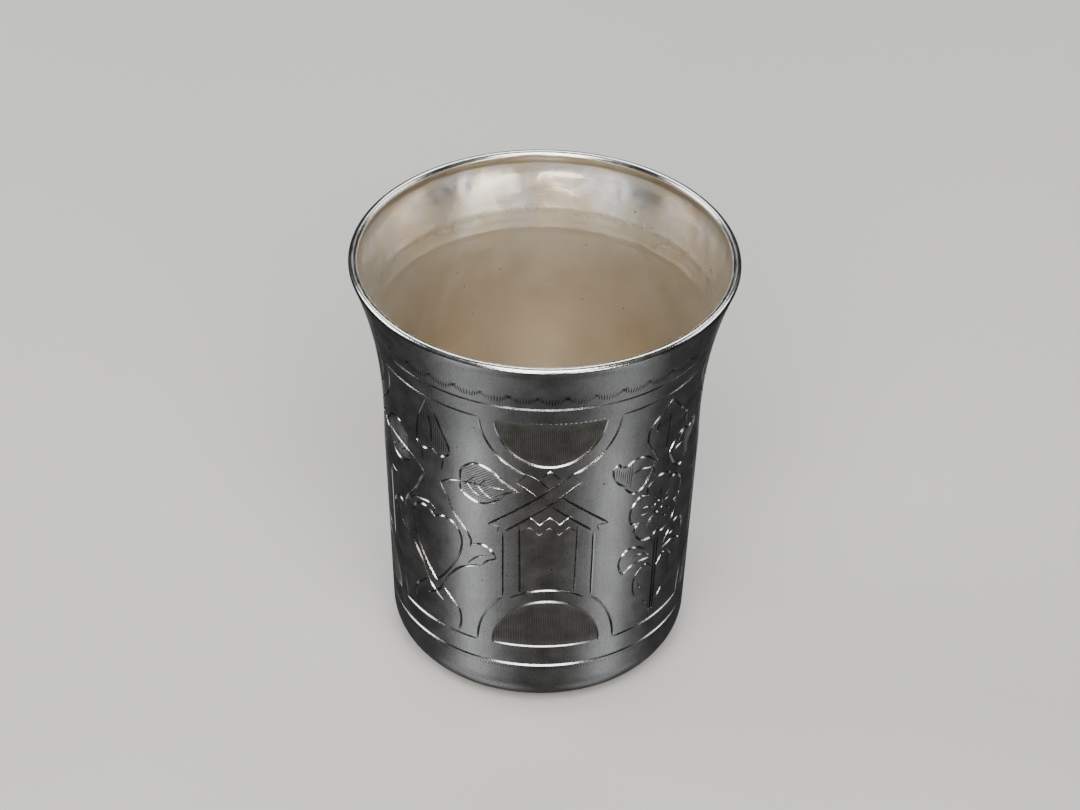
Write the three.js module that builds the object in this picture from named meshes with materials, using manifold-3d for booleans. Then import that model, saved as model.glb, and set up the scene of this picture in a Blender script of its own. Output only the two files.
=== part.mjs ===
// Silver beaker with a flared mouth, a thick rounded lip and an engraved wall.
// Millimetres, +Z up, origin at the centre of the underside.
import * as THREE from 'three';
import * as BufferGeometryUtils from 'three/addons/utils/BufferGeometryUtils.js';
import Module from 'manifold-3d';

// Driving dimensions
const HEIGHT = 71.3; // underside to the top of the lip
const RIM_RADIUS = 30.0; // outside of the lip
const LIP_WIDTH = 1.4; // across the rounded lip
const WAIST_RADIUS = 24.8; // outside, where the mouth starts to flare
const WAIST_HEIGHT = 38.4;
const LOWER_RADIUS = 23.5; // outside, where the wall meets the rounded corner
const CORNER_RADIUS = 6.0; // outside, between the wall and the flat foot
const WALL = 0.7;
const FLOOR = 0.8;
const GROOVE_WIDTH = 0.42; // of an engraved line at the surface
const GROOVE_DEPTH = 0.2;
const FIELD_FROM_LIP = 12.3; // top of the lip down to the field's upper line
const FIELD_FROM_FOOT = 13.0; // underside up to the field's lower line
const RING_ABOVE_FIELD = 3.2; // from the field's upper line to the ring line under the mouth
const RING_BELOW_FIELD = 3.8; // from the field's lower line to the ring line above the foot

// Shape of the flare: how fast the wall turns out towards the lip
const FLARE_POWER = 2.34;

// Motifs round the wall: a pavilion and a plant take turns
const REPEATS = 4;
const PAVILION_ANGLE = 3.2; // degrees, first pavilion's centre line from the front
const MOTIF_SPACING = 42.34; // drawing units, from a pavilion's centre line to the next plant's

// Fineness of the faces
const TURN_FACETS = 40;
const FLARE_STEPS = 7;
const INSIDE_FLARE_STEPS = 4;
const CORNER_STEPS = 3;
const LIP_STEPS = 4;
const CURVE_STEPS = 4;
const ARCH_STEPS = 6;
const LINE_STEP = 7; // longest straight piece of a line round the wall, in drawing units
const SAME_POINT = 0.01; // drawing units
const LEAST_MITRE = 0.6; // limits how far a sharp corner's mitre reaches

const wasm = await Module();
wasm.setup();

// Wall

const lipRadius = LIP_WIDTH / 2;
const lipHeight = HEIGHT - lipRadius;
const fieldBottom = FIELD_FROM_FOOT;
const fieldTop = HEIGHT - FIELD_FROM_LIP;
const fieldHeight = fieldTop - fieldBottom;
const ringHeights = [
  fieldBottom - RING_BELOW_FIELD,
  fieldBottom,
  fieldTop,
  fieldTop + RING_ABOVE_FIELD,
];

// Outside radius of the wall at a height above the rounded corner
function wallRadius(height) {
  if (height <= WAIST_HEIGHT) {
    const share = (height - CORNER_RADIUS) / (WAIST_HEIGHT - CORNER_RADIUS);
    return LOWER_RADIUS + (WAIST_RADIUS - LOWER_RADIUS) * share;
  }
  const share = (height - WAIST_HEIGHT) / (lipHeight - WAIST_HEIGHT);
  return WAIST_RADIUS + (RIM_RADIUS - WAIST_RADIUS) * share ** FLARE_POWER;
}

// Slope of the wall: how much the radius grows with height
function wallSlope(height) {
  const step = 0.01 * CORNER_RADIUS;
  return (wallRadius(height + step) - wallRadius(height - step)) / (2 * step);
}

// Points on an arc of the section, with angles in degrees from the outward direction
function sectionArc(radius, height, arcRadius, from, to, steps) {
  const start = THREE.MathUtils.degToRad(from);
  const end = THREE.MathUtils.degToRad(to);
  const arc = new THREE.EllipseCurve(radius, height, arcRadius, arcRadius, start, end, to < from);
  return arc.getPoints(steps);
}

// A V-shaped notch in the section, for a line engraved all round
function ringNotch(height) {
  const low = height - GROOVE_WIDTH / 2;
  const high = height + GROOVE_WIDTH / 2;
  return [
    new THREE.Vector2(wallRadius(low), low),
    new THREE.Vector2(wallRadius(height) - GROOVE_DEPTH, height),
    new THREE.Vector2(wallRadius(high), high),
  ];
}

// Heights of the flare's edges, from the waist to just under the lip
function flareHeights(steps) {
  const heights = [];
  for (let step = 0; step < steps; step += 1) {
    heights.push(WAIST_HEIGHT + ((lipHeight - WAIST_HEIGHT) * step) / steps);
  }
  return heights;
}

function outerSection() {
  const foot = LOWER_RADIUS - CORNER_RADIUS;
  const heights = flareHeights(FLARE_STEPS);
  const wall = heights.map((height) => new THREE.Vector2(wallRadius(height), height));
  const clear = wall.filter((point) =>
    ringHeights.every((ring) => Math.abs(point.y - ring) > GROOVE_WIDTH));
  const notches = ringHeights.flatMap(ringNotch);
  const risen = [...clear, ...notches].sort((one, other) => one.y - other.y);
  return [...sectionArc(foot, CORNER_RADIUS, CORNER_RADIUS, -90, 0, CORNER_STEPS), ...risen];
}

// The inside follows the outside at the wall's thickness, measured square to the wall
function innerSection() {
  const offset = (height) => WALL * Math.hypot(1, wallSlope(height));
  const innerCorner = CORNER_RADIUS - WALL;
  const cornerHeight = FLOOR + innerCorner;
  const wall = flareHeights(INSIDE_FLARE_STEPS).reverse();
  const points = wall.map((height) => new THREE.Vector2(wallRadius(height) - offset(height), height));
  const floorArc = sectionArc(
    wallRadius(cornerHeight) - WALL - innerCorner, cornerHeight, innerCorner, 0, -90, CORNER_STEPS);
  return [...points, ...floorArc];
}

// The lip is a bead that stands a little proud inside the mouth
function lipSection() {
  return sectionArc(RIM_RADIUS - lipRadius, lipHeight, lipRadius, 0, 180, LIP_STEPS);
}

function turnedBody() {
  const section = [
    new THREE.Vector2(0, 0),
    ...outerSection(),
    ...lipSection(),
    ...innerSection(),
    new THREE.Vector2(0, FLOOR),
  ];
  const turned = new THREE.LatheGeometry(section, TURN_FACETS);
  turned.rotateX(Math.PI / 2);
  return turned;
}

// Engraved lines, drawn flat: y up from the field's lower line in hundredths of the field's height,
// x across from the motif's own centre line, in the same units where the wall is at its waist

const unit = fieldHeight / 100;

function corners(...points) {
  return points.map(([x, y]) => new THREE.Vector2(x, y));
}

// Straight lines through the given points, in steps short enough to follow the round wall
function line(...points) {
  const [first, ...others] = corners(...points);
  const stroke = [first];
  for (const target of others) {
    const start = stroke[stroke.length - 1];
    const steps = Math.max(1, Math.ceil(Math.abs(target.x - start.x) / LINE_STEP));
    for (let step = 1; step <= steps; step += 1) {
      stroke.push(start.clone().lerp(target, step / steps));
    }
  }
  return stroke;
}

// Part of an ellipse, with angles in degrees from the right, counter-clockwise
function arch(x, y, halfWidth, rise, from, to, steps = ARCH_STEPS) {
  const start = THREE.MathUtils.degToRad(from);
  const end = THREE.MathUtils.degToRad(to);
  return new THREE.EllipseCurve(x, y, halfWidth, rise, start, end, to < from).getPoints(steps);
}

function bend(...points) {
  return new THREE.CubicBezierCurve(...corners(...points)).getPoints(CURVE_STEPS);
}

function curve(...points) {
  return new THREE.SplineCurve(corners(...points)).getPoints(CURVE_STEPS);
}

function mirrored(strokes) {
  return strokes.map((stroke) => stroke.map((point) => new THREE.Vector2(-point.x, point.y)));
}

// Strokes turned by an angle in degrees and moved to a place on the drawing
function placed(strokes, x, y, angle) {
  const centre = new THREE.Vector2(0, 0);
  const turn = THREE.MathUtils.degToRad(angle);
  const shift = new THREE.Vector2(x, y);
  return strokes.map((stroke) =>
    stroke.map((point) => point.clone().rotateAround(centre, turn).add(shift)));
}

// Heart with its tip at the origin and its notch at the given length above
function heart(length, halfWidth) {
  const right = bend(
    [0, length], [0.53 * halfWidth, 1.25 * length], [1.93 * halfWidth, 0.92 * length], [0, 0]);
  const [left] = mirrored([right]);
  return [[...right, ...left.reverse().slice(1)]];
}

// Crossed gable boards over the doorway, one drawn whole and one passing behind it
function gable() {
  return [
    line([-20.8, 52.8], [5.1, 73.9]),
    line([-14.9, 51.1], [10.8, 72.5]),
    line([20.8, 52.8], [4.1, 66.9]),
    line([14.9, 51.1], [1.0, 63.0]),
    line([-4.2, 67.2], [-10.8, 72.5]),
  ];
}

// Turned ends of the boards and the small point where they cross
function gableTrim() {
  const eave = line([-20.8, 52.8], [-16.6, 53.0], [-17.5, 50.0]);
  const end = line([-10.8, 72.5], [-7.5, 76.7]);
  const finial = line([-3.0, 75.0], [0.1, 78.3], [4.0, 74.2]);
  return [eave, end, ...mirrored([eave, end]), finial, line([0, 70.4], [-3.4, 74.3])];
}

// A row of teeth that hangs under the gable
function valance() {
  const teeth = 3;
  const pitch = 6.5;
  const points = [];
  for (let step = 0; step <= 2 * teeth; step += 1) {
    points.push([((step - teeth) / 2) * pitch, step % 2 === 0 ? 50.7 : 53.9]);
  }
  return line(...points);
}

function pavilion(isPlain) {
  const half = ARCH_STEPS / 2;
  const sides = [
    arch(0, 100, 22.6, 25.1, 180, 250, half),
    arch(0, 0, 24.8, 27.8, 180, 129, half),
    line([-15.5, 50.7], [-15.5, 21.7]),
  ];
  const main = [
    arch(0, 100, 17.5, 19.8, 180, 360),
    arch(0, 0, 19.2, 21.0, 0, 180),
    ...sides,
    ...mirrored(sides),
    ...gable(),
  ];
  const door = line([-9.8, 54.3], [-9.8, 24.3]);
  const band = arch(0, 0, 23.3, 26.1, 57, 123, half);
  const detail = [door, ...mirrored([door]), band, valance(), ...gableTrim()];
  return isPlain ? main : [...main, ...detail];
}

// Heart on a stem, with a bud above it, a leaf on each side and stems that cross below
function heartPlant(isPlain) {
  const main = [
    ...placed(heart(20.0, 8.6), 30.5, 68.0, 90),
    bend([0.2, 98.5], [3.0, 92.0], [9.0, 82.0], [6.0, 75.0]),
  ];
  const detail = [
    curve([3.5, 63.7], [8.4, 54.5], [14.5, 45.6], [15.0, 40.4]),
    curve([19.3, 33.9], [10.7, 29.6], [2.0, 16.5], [-6.5, 9.5]),
    bend([16.1, 42.2], [18.5, 45.0], [30.0, 40.0], [19.3, 33.9]),
    bend([2.5, 18.0], [9.0, 12.0], [12.5, 12.0], [10.0, 0.5]),
  ];
  const side = isPlain ? main : [...main, ...detail];
  return [...placed(heart(28.3, 11.4), 0.5, 19.1, 0), ...side, ...mirrored(side)];
}

// Five petals round a centre
function flower(x, y, inner, outer) {
  const petals = 5;
  const steps = petals * CURVE_STEPS;
  const outline = [];
  for (let step = 0; step <= steps; step += 1) {
    const turn = (step / steps) * 2 * Math.PI;
    const lobe = Math.abs(Math.sin((petals * turn) / 2)) ** 0.6;
    const reach = inner + (outer - inner) * lobe;
    outline.push([x - reach * Math.sin(turn), y + reach * Math.cos(turn)]);
  }
  return corners(...outline);
}

// Flower on an upright stem, with a lobed leaf above it and leaves on both sides
function flowerPlant(isPlain) {
  const main = [
    bend([0.9, 96.7], [-2.5, 94.0], [-2.0, 90.0], [-3.9, 88.0]),
    bend([-3.9, 85.2], [-9.0, 91.0], [-8.0, 84.0], [-7.6, 79.0]),
    ...placed(heart(17.5, 7.6), -20.5, 74.5, -115),
  ];
  const lowLeaf = placed(heart(13.0, 5.6), -17.0, 27.5, -75);
  const side = isPlain ? main : [...main, ...lowLeaf];
  return [...side, ...mirrored(side), flower(0, 50.4, 8.7, 13.2), line([-0.6, 36.0], [-0.6, 4.0])];
}

// Wrapping and cutting

// Place of a drawn point on the wall, at a height above the surface and moved sideways
function wrapped(point, centreAngle, along, sideways, above) {
  const height = fieldBottom + point.y * unit;
  const angle = centreAngle + (point.x / MOTIF_SPACING) * (Math.PI / REPEATS) - Math.PI / 2;
  const slope = wallSlope(height);
  const tilt = Math.hypot(1, slope);
  const across = new THREE.Vector3(-Math.sin(angle), Math.cos(angle), 0);
  const up = new THREE.Vector3(Math.cos(angle) * slope, Math.sin(angle) * slope, 1).divideScalar(tilt);
  const out = new THREE.Vector3(Math.cos(angle), Math.sin(angle), -slope).divideScalar(tilt);
  const surface = new THREE.Vector3(Math.cos(angle), Math.sin(angle), 0).multiplyScalar(wallRadius(height));
  surface.z = height;
  surface.addScaledVector(across, -along.y * sideways);
  surface.addScaledVector(up, along.x * sideways);
  surface.addScaledVector(out, above);
  return surface;
}

// Direction of a stroke at one of its points, with the stretch that a bend's mitre needs
function strokeDirection(before, here, after) {
  const arriving = here.clone().sub(before ?? here).normalize();
  const leaving = (after ?? here).clone().sub(here).normalize();
  const along = arriving.clone().add(leaving).normalize();
  const reference = before ? arriving : leaving;
  return { along, stretch: 1 / Math.max(along.dot(reference), LEAST_MITRE) };
}

// Three-sided bar along a stroke, with one edge at the groove's bottom;
// a stroke that ends where it starts gives a ring, any other has two end faces
function grooveCutter(stroke, centreAngle) {
  const isRing = stroke[0].distanceTo(stroke[stroke.length - 1]) < SAME_POINT;
  const points = isRing ? stroke.slice(1) : stroke;
  const count = points.length;
  const neighbour = (step) => (isRing ? points[(step + count) % count] : points[step]);
  const above = GROOVE_DEPTH;
  const halfTop = (GROOVE_WIDTH / 2) * ((GROOVE_DEPTH + above) / GROOVE_DEPTH);
  const positions = [];
  const index = [];
  points.forEach((point, step) => {
    const { along, stretch } = strokeDirection(neighbour(step - 1), point, neighbour(step + 1));
    const section = [[0, -GROOVE_DEPTH], [halfTop * stretch, above], [-halfTop * stretch, above]];
    for (const [sideways, height] of section) {
      positions.push(...wrapped(point, centreAngle, along, sideways, height).toArray());
    }
  });
  const spans = isRing ? count : count - 1;
  for (let span = 0; span < spans; span += 1) {
    const near = span * 3;
    const far = ((span + 1) % count) * 3;
    for (let side = 0; side < 3; side += 1) {
      const next = (side + 1) % 3;
      index.push(near + side, near + next, far + next);
      index.push(near + side, far + next, far + side);
    }
  }
  if (!isRing) {
    const last = (count - 1) * 3;
    index.push(0, 2, 1, last, last + 1, last + 2);
  }
  const bar = new THREE.BufferGeometry();
  bar.setAttribute('position', new THREE.Float32BufferAttribute(positions, 3));
  bar.setIndex(index);
  return bar;
}

function asSolid(geometry) {
  const bare = geometry.clone();
  bare.deleteAttribute('normal');
  bare.deleteAttribute('uv');
  const merged = BufferGeometryUtils.mergeVertices(bare);
  const mesh = new wasm.Mesh({
    numProp: 3,
    vertProperties: new Float32Array(merged.attributes.position.array),
    triVerts: new Uint32Array(merged.index.array),
  });
  return new wasm.Manifold(mesh);
}

function asGeometry(solid) {
  const mesh = solid.getMesh();
  const geometry = new THREE.BufferGeometry();
  geometry.setAttribute('position', new THREE.BufferAttribute(mesh.vertProperties, 3));
  geometry.setIndex(new THREE.BufferAttribute(mesh.triVerts, 1));
  geometry.computeVertexNormals();
  return geometry;
}

function engraved(body) {
  let solid = asSolid(body);
  const pitch = (2 * Math.PI) / REPEATS;
  for (let copy = 0; copy < REPEATS; copy += 1) {
    const isPlain = copy > 0 && copy < REPEATS - 1;
    const pavilionAngle = THREE.MathUtils.degToRad(PAVILION_ANGLE) + copy * pitch;
    const plantAngle = pavilionAngle + pitch / 2;
    const plant = copy % 2 === 0 ? flowerPlant(isPlain) : heartPlant(isPlain);
    const drawings = [
      { strokes: pavilion(copy > 0), angle: pavilionAngle },
      { strokes: plant, angle: plantAngle },
    ];
    for (const { strokes, angle } of drawings) {
      for (const stroke of strokes) {
        solid = solid.subtract(asSolid(grooveCutter(stroke, angle)));
      }
    }
  }
  return asGeometry(solid);
}

const silver = new THREE.MeshStandardMaterial({ color: 0xb9b7b2, roughness: 0.32, metalness: 1.0 });

const object = new THREE.Group();
const beaker = new THREE.Mesh(engraved(turnedBody()), silver);
beaker.name = 'beaker';
object.add(beaker);

export default object;
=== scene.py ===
# %% [markdown]
# # An engraved silver beaker
# A beaker of this kind is raised and turned from one sheet of silver, so it's a body of
# revolution. Its wall is then engraved by hand: every line is a V-shaped groove. This
# lesson builds it in the same order. A Geometry Nodes tree turns the section, a drawing
# of strokes is wrapped round the wall, and a second tree cuts them into the metal.

# %% Load the frame
import math
import random
from itertools import count, pairwise

import bpy
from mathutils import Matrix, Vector


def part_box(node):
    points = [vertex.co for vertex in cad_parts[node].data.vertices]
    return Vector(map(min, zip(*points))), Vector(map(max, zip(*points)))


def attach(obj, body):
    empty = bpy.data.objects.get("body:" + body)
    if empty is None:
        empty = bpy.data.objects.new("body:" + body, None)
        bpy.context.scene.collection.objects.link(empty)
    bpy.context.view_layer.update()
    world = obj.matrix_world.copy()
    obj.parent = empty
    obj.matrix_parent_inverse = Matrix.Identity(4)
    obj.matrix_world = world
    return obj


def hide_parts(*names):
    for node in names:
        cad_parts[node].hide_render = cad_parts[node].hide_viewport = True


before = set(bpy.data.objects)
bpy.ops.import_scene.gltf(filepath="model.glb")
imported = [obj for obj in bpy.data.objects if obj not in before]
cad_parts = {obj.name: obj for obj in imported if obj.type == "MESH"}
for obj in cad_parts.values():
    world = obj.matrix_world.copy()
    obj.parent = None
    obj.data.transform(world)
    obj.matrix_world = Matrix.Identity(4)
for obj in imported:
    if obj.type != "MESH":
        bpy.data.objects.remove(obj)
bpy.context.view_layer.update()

# %% [markdown]
# ## Sizes
# The height and the mouth come from the frame, so the dressed beaker can't drift away
# from the solid. The other sizes are those of the solid, in millimetres. The trees work
# in millimetres too, because fine grooves are easier to read that way, and the last one
# brings the result to metres.

# %% Sizes in millimetres
MM = 0.001
low_corner, high_corner = (Vector(corner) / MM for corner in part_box("beaker"))
HEIGHT = high_corner.z - low_corner.z
RIM_RADIUS = (high_corner.x - low_corner.x) / 2
LIP_WIDTH = 1.4
WAIST_RADIUS = 24.8
WAIST_HEIGHT = 38.4
LOWER_RADIUS = 23.5
CORNER_RADIUS = 6.0
WALL = 0.7
FLOOR = 0.8
FLARE_POWER = 2.34
LIP_HEIGHT = HEIGHT - LIP_WIDTH / 2

FIELD_BOTTOM = 13.0
FIELD_TOP = HEIGHT - 12.3
UPPER_RING = FIELD_TOP + 3.2
LOWER_RING = FIELD_BOTTOM - 3.8
UNIT = (FIELD_TOP - FIELD_BOTTOM) / 100

PAVILION_ANGLE = 3.2
QUARTER = WAIST_RADIUS * math.pi / 2
print(f"beaker {HEIGHT:.1f} mm high and {2 * RIM_RADIUS:.1f} mm across")
print(f"engraved field {FIELD_TOP - FIELD_BOTTOM:.1f} mm high")

# %% [markdown]
# ## Small functions for nodes
# Every tree below is a list of calls to these. The first adds a node, sets its options
# and connects or fills its inputs. The others are for what comes back often: a sum, a
# turn, a value kept on the geometry, and a group.

# %% Add nodes


def add(tree, kind, inputs=(), **options):
    """Adds a node. inputs is a list in the node's order, or a dict by name; None leaves one alone."""
    made = tree.nodes.new(kind)
    for name, value in options.items():
        setattr(made, name, value)
    for key, value in inputs.items() if isinstance(inputs, dict) else enumerate(inputs):
        for single in value if isinstance(value, list) else [value]:
            if isinstance(single, bpy.types.NodeSocket):
                tree.links.new(single, made.inputs[key])
            elif single is not None:
                made.inputs[key].default_value = single
    return made.outputs


def reckon(tree, operation, *values):
    """The outcome of one sum on numbers."""
    return add(tree, "ShaderNodeMath", values, operation=operation)[0]


def reckon_vector(tree, operation, *values):
    """The outcome of one sum on vectors: a vector or, for a dot product, a number."""
    outputs = add(tree, "ShaderNodeVectorMath", values, operation=operation)
    return outputs["Value" if operation == "DOT_PRODUCT" else "Vector"]


def scaled(tree, vector, factor):
    """A vector made longer or shorter."""
    return add(tree, "ShaderNodeVectorMath", {"Vector": vector, "Scale": factor}, operation="SCALE")[0]


def spin(tree, vector, angle):
    """A vector turned round the upright axis."""
    inputs = {"Vector": vector, "Angle": angle}
    return add(tree, "ShaderNodeVectorRotate", inputs, rotation_type="Z_AXIS")[0]


def joined(tree, x, y, z):
    """A vector from its three parts."""
    return add(tree, "ShaderNodeCombineXYZ", [x, y, z])[0]


def store(tree, geometry, label, value, kind="FLOAT", domain="POINT"):
    """The geometry with a value kept on it under a name."""
    inputs = {"Geometry": geometry, "Name": label, "Value": value}
    return add(tree, "GeometryNodeStoreNamedAttribute", inputs, data_type=kind, domain=domain)[0]


def named(tree, label, kind="FLOAT"):
    """The value that is kept on the geometry under a name."""
    return add(tree, "GeometryNodeInputNamedAttribute", [label], data_type=kind)[0]


def use(tree, group, inputs):
    """Adds a node group to a tree and connects or fills its inputs."""
    return add(tree, "GeometryNodeGroup", dict(enumerate(inputs)), node_tree=group)


# %% [markdown]
# ## Making and running a tree
# A tree gets named inputs, so that it can be used again with other values. Running it
# means putting it on an empty object as a modifier, filling its inputs, and keeping the
# plain mesh that comes out.

# %% Make and run trees


def new_tree(name, inputs, outputs):
    """A node group with named inputs and outputs: (name, kind) or (name, kind, start value)."""
    tree = bpy.data.node_groups.new(name, "GeometryNodeTree")
    for label, kind, *start in inputs:
        made = tree.interface.new_socket(label, in_out="INPUT", socket_type=f"NodeSocket{kind}")
        if start:
            made.default_value = start[0]
    for label, kind in outputs:
        tree.interface.new_socket(label, in_out="OUTPUT", socket_type=f"NodeSocket{kind}")
    return tree, add(tree, "NodeGroupInput")


def run_tree(name, tree, values):
    """The mesh that a tree makes with these input values."""
    holder = bpy.data.objects.new(name, bpy.data.meshes.new(name))
    bpy.context.scene.collection.objects.link(holder)
    modifier = holder.modifiers.new(name, "NODES")
    modifier.node_group = tree
    for item in tree.interface.items_tree:
        if item.in_out == "INPUT" and item.name in values:
            modifier[item.identifier] = values[item.name]
    graph = bpy.context.evaluated_depsgraph_get()
    made = bpy.data.meshes.new_from_object(holder.evaluated_get(graph))
    holder.modifiers.clear()
    holder.data = made
    return holder


# %% [markdown]
# ## The rule of the wall
# The wall tapers a little from a waist down to the rounded corner, and above the waist
# it flares faster and faster, which a power of the height gives. The rule is needed to
# draw the section and, inside the trees, to lay strokes on the wall, so it's written once
# for Python and once as a node group.

# %% Radius of the wall
SLOPE_STEP = 0.05


def wall_radius(height):
    """Outside radius at a height above the rounded corner."""
    taper = min((height - CORNER_RADIUS) / (WAIST_HEIGHT - CORNER_RADIUS), 1)
    flare = max((height - WAIST_HEIGHT) / (LIP_HEIGHT - WAIST_HEIGHT), 0)
    return (
        LOWER_RADIUS
        + (WAIST_RADIUS - LOWER_RADIUS) * taper
        + (RIM_RADIUS - WAIST_RADIUS) * flare**FLARE_POWER
    )


def wall_slope(height):
    """How much the radius grows with height."""
    return (wall_radius(height + SLOPE_STEP) - wall_radius(height - SLOPE_STEP)) / (2 * SLOPE_STEP)


radius_tree, given = new_tree("Wall radius", [("Height", "Float")], [("Radius", "Float")])
taper = add(
    radius_tree,
    "ShaderNodeMapRange",
    [given["Height"], CORNER_RADIUS, WAIST_HEIGHT, LOWER_RADIUS, WAIST_RADIUS],
)[0]
flare = add(radius_tree, "ShaderNodeMapRange", [given["Height"], WAIST_HEIGHT, LIP_HEIGHT, 0.0, 1.0])[0]
curved = reckon(radius_tree, "POWER", flare, FLARE_POWER)
radius = reckon(radius_tree, "MULTIPLY_ADD", curved, RIM_RADIUS - WAIST_RADIUS, taper)
add(radius_tree, "NodeGroupOutput", [radius])
for place, height in (("foot", FIELD_BOTTOM), ("top", FIELD_TOP)):
    print(f"wall radius {wall_radius(height):.2f} mm at the field's {place}")

# %% [markdown]
# ## The section
# Half of the beaker cut through the middle, from the centre of the foot round the
# outside, over the lip and down the inside to the centre of the floor. Round stretches
# are arcs with many steps, because polished silver shows every flat.

# %% Section of the turned body
STEP = 1.6
CORNER_STEPS, LIP_STEPS, INNER_STEPS = 14, 18, 12
LIP_ROLL = 35
FOOT_RADIUS = LOWER_RADIUS - CORNER_RADIUS


def arc(centre_radius, centre_height, size, start, end, steps):
    """Points on an arc of the section, angles in degrees from the outward direction."""
    angles = [math.radians(start + (end - start) * step / steps) for step in range(steps + 1)]
    return [(centre_radius + size * math.cos(a), centre_height + size * math.sin(a)) for a in angles]


def heights(start, end):
    """Heights in even steps from start up to end, without either."""
    steps = round((end - start) / STEP)
    return [start + (end - start) * step / steps for step in range(1, steps)]


def inside(height):
    """Point of the inside wall, at the wall's thickness square to the outside."""
    return (wall_radius(height) - WALL * math.hypot(1, wall_slope(height)), height)


inner_corner = CORNER_RADIUS - WALL
corner_top = FLOOR + inner_corner
inner_top = LIP_HEIGHT - LIP_WIDTH
lip_radius = LIP_WIDTH / 2
outside_points = [
    (0, 0),
    (FOOT_RADIUS / 2, 0),
    *arc(FOOT_RADIUS, CORNER_RADIUS, CORNER_RADIUS, -90, 0, CORNER_STEPS),
    *[(wall_radius(height), height) for height in heights(CORNER_RADIUS, LIP_HEIGHT)],
]
lip_points = arc(RIM_RADIUS - lip_radius, LIP_HEIGHT, lip_radius, 0, 180 + LIP_ROLL, LIP_STEPS)
inside_points = [
    *[inside(height) for height in reversed(heights(corner_top, inner_top) + [inner_top])],
    *arc(inside(corner_top)[0] - inner_corner, corner_top, inner_corner, 0, -90, INNER_STEPS),
    (FOOT_RADIUS / 2, FLOOR),
    (0, FLOOR),
]
section = [*outside_points, *lip_points, *inside_points]
lip_starts, lip_ends = len(outside_points), len(outside_points) + len(lip_points)
print("section of", len(section), "points, the lip from", lip_starts, "to", lip_ends)

# %% [markdown]
# ## A drawing as loose edges
# The trees take their lines from mesh objects. Each stroke is a chain of edges in the
# flat XY plane. What a tree has to know of a stroke, such as its width, is written on
# the stroke's points.

# %% Flat mesh of strokes


def flat_mesh(name, strokes, values=None):
    """A mesh of loose edges, one chain for each stroke, with one value a stroke under each name."""
    points = [(x, y, 0) for stroke in strokes for x, y in stroke]
    edges = []
    start = 0
    for stroke in strokes:
        edges += pairwise(range(start, start + len(stroke)))
        start += len(stroke)
    mesh = bpy.data.meshes.new(name)
    mesh.from_pydata(points, edges, [])
    for label, amounts in (values or {}).items():
        kind = "INT" if isinstance(amounts[0], int) else "FLOAT"
        held = mesh.attributes.new(label, kind, "POINT")
        spread = [amount for amount, stroke in zip(amounts, strokes) for _ in stroke]
        held.data.foreach_set("value", spread)
    made = bpy.data.objects.new(name, mesh)
    bpy.context.scene.collection.objects.link(made)
    return made


section_line = flat_mesh("section line", [section])

# %% [markdown]
# ## Turning the section
# A grid has a row for each point of the section and a column for each step round the
# axis. Each of its points looks up its place in the section by its row and turns it
# round the axis by its column. Merging by distance closes the seam, and flipping turns
# the faces outwards. The value "zone" is 0 up to the lip, rises over it, and is 1 inside.

# %% Tree that turns a section
TURNS = 180

section_inputs = [
    ("Section", "Object"),
    ("Points", "Int", 2),
    ("Lip starts", "Int", 0),
    ("Lip ends", "Int", 1),
    ("Turns", "Int", 16),
]
turner, given = new_tree("Turned body", section_inputs, [("Mesh", "Geometry")])
line_of_section = add(turner, "GeometryNodeObjectInfo", [given["Section"]])["Geometry"]
columns = reckon(turner, "ADD", given["Turns"], 1.0)
grid = add(turner, "GeometryNodeMeshGrid", {"Vertices X": given["Points"], "Vertices Y": columns})[0]
index = add(turner, "GeometryNodeInputIndex")[0]
row, column = (
    add(turner, "FunctionNodeIntegerMath", [index, columns], operation=operation)[0]
    for operation in ("DIVIDE_FLOOR", "MODULO")
)
place = add(turner, "GeometryNodeInputPosition")[0]
wanted = {"Geometry": line_of_section, "Value": place, "Index": row}
here = add(turner, "GeometryNodeSampleIndex", wanted, data_type="FLOAT_VECTOR")[0]
upright = add(turner, "ShaderNodeSeparateXYZ", [here])
standing = joined(turner, upright["X"], 0.0, upright["Y"])
share = reckon(turner, "DIVIDE", column, given["Turns"])
turned = spin(turner, standing, reckon(turner, "MULTIPLY", share, math.tau))
shaped = add(turner, "GeometryNodeSetPosition", {"Geometry": grid, "Position": turned})[0]
lip_share = [row, given["Lip starts"], given["Lip ends"], 0.0, 1.0]
zoned = store(turner, shaped, "zone", add(turner, "ShaderNodeMapRange", lip_share)[0])
closed = add(turner, "GeometryNodeMergeByDistance", {"Geometry": zoned, "Distance": 0.001})[0]
facing_out = add(turner, "GeometryNodeFlipFaces", [closed])[0]
smooth = add(turner, "GeometryNodeSetShadeSmooth", [facing_out])[0]
add(turner, "NodeGroupOutput", [smooth])

print("turned body tree of", len(turner.nodes), "nodes")

# %% [markdown]
# ## Wrapping a drawing round the wall
# The engraver's drawing is flat: across the wall in millimetres measured at the waist,
# and up in millimetres. This group bends it round the beaker. It also gives the
# direction straight out of the metal, which the graver's cuts need.

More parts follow.
